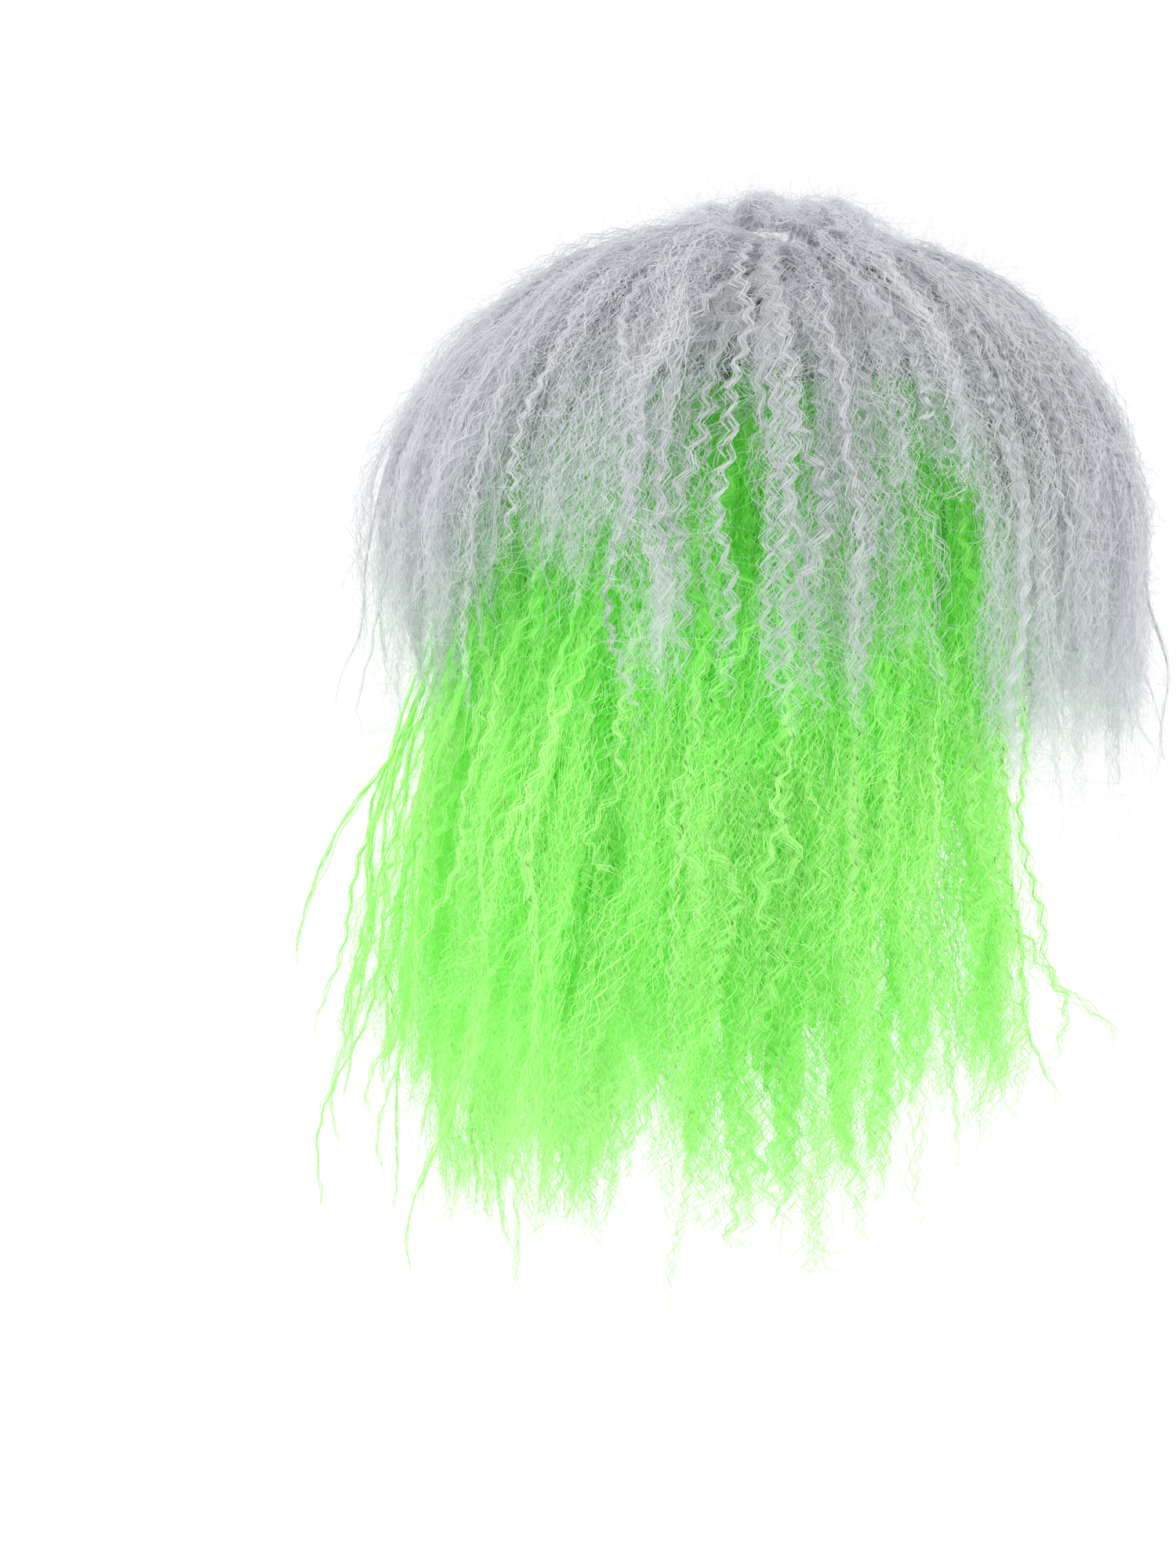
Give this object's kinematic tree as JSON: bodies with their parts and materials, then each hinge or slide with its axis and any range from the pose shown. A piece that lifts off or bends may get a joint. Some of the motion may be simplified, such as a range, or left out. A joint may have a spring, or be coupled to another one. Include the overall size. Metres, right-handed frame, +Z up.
{
  "type": "costume wig",
  "caption": "Two-tone crimped costume wig: silver top hair over long neon-green hair on a stretch net cap with ear tabs and nape adjusters.",
  "frame": {"origin": "middle of the head space inside the cap, at the level of its widest girth", "axes": "+Z up through the crown, the face looks along -Y, the wearer's left is +X"},
  "size_m": [0.244, 0.298, 0.404],
  "materials": {
    "silver_fibre": "satin",
    "green_fibre": "satin",
    "silver_thread": "matte",
    "green_thread": "matte",
    "net_fabric": "matte",
    "binding_tape": "matte",
    "elastic_tape": "matte",
    "loop_tape": "matte",
    "label_satin": "satin",
    "hook_plastic": "gloss",
    "stay_steel": "satin"
  },
  "bodies": {
    "cap": {"crown_net": "net_fabric", "front_net": "net_fabric", "nape_net": "net_fabric", "side_net_left": "net_fabric", "side_net_right": "net_fabric", "green_upper_track": "green_thread", "front_band": "binding_tape", "nape_binding": "binding_tape", "side_band_left": "binding_tape", "side_band_right": "binding_tape", "rib_center": "elastic_tape", "rib_left": "elastic_tape", "rib_right": "elastic_tape", "size_label": "label_satin", "crown_patch": "net_fabric", "nape_band": "elastic_tape", "loop_row_left": "loop_tape", "loop_row_right": "loop_tape", "strap_tunnel_left": "binding_tape", "strap_tunnel_right": "binding_tape", "green_nape_track": "green_thread", "green_back_track": "green_thread", "green_side_track_left": "green_thread", "green_side_track_right": "green_thread", "silver_back_track": "silver_thread", "silver_side_track_left": "silver_thread", "silver_side_track_right": "silver_thread", "silver_fringe_track": "silver_thread", "silver_crown_track": "silver_thread", "silver_crown_hair": "silver_fibre", "silver_crown_tuft": "silver_fibre"},
    "fringe_hair": {"silver_fringe_hair": "silver_fibre"},
    "left_hair": {"silver_side_hair_left": "silver_fibre", "green_side_hair_left": "green_fibre"},
    "right_hair": {"silver_side_hair_right": "silver_fibre", "green_side_hair_right": "green_fibre"},
    "back_hair": {"silver_back_hair": "silver_fibre", "green_back_hair": "green_fibre", "green_nape_hair": "green_fibre"},
    "tab_left": {"ear_tab_left": "binding_tape", "ear_stay_left": "stay_steel"},
    "tab_right": {"ear_tab_right": "binding_tape", "ear_stay_right": "stay_steel"},
    "adjuster_left": {"adjuster_strap_left": "elastic_tape", "adjuster_hook_left": "hook_plastic"},
    "adjuster_right": {"adjuster_strap_right": "elastic_tape", "adjuster_hook_right": "hook_plastic"}
  },
  "joints": [
    {"name": "fringe_lift", "type": "hinge", "parent": "cap", "child": "fringe_hair", "pos_m": [0, -0.10574, 0.045], "axis": [-1, 0, 0], "range_deg": [0, 35]},
    {"name": "left_lift", "type": "hinge", "parent": "cap", "child": "left_hair", "pos_m": [0.09265, 0, 0.045], "axis": [0, -1, 0], "range_deg": [0, 30]},
    {"name": "right_lift", "type": "hinge", "parent": "cap", "child": "right_hair", "pos_m": [-0.09265, 0, 0.045], "axis": [0, 1, 0], "range_deg": [0, 30]},
    {"name": "back_lift", "type": "hinge", "parent": "cap", "child": "back_hair", "pos_m": [0, 0.12174, 0.045], "axis": [1, 0, 0], "range_deg": [0, 30]},
    {"name": "tab_left_flex", "type": "hinge", "parent": "cap", "child": "tab_left", "pos_m": [0.0605, -0.06, 0.002], "axis": [0.5429, 0.8398, 0], "range_deg": [-8, 20]},
    {"name": "tab_right_flex", "type": "hinge", "parent": "cap", "child": "tab_right", "pos_m": [-0.0605, -0.06, 0.002], "axis": [0.5429, -0.8398, 0], "range_deg": [-8, 20]},
    {"name": "adjuster_left_slide", "type": "hinge", "parent": "cap", "child": "adjuster_left", "pos_m": [0, 0.0302, -0.06], "axis": [0, 0, 1], "range_deg": [0, 21]},
    {"name": "adjuster_right_slide", "type": "hinge", "parent": "cap", "child": "adjuster_right", "pos_m": [0, 0.0302, -0.06], "axis": [0, 0, -1], "range_deg": [0, 21]}
  ]
}
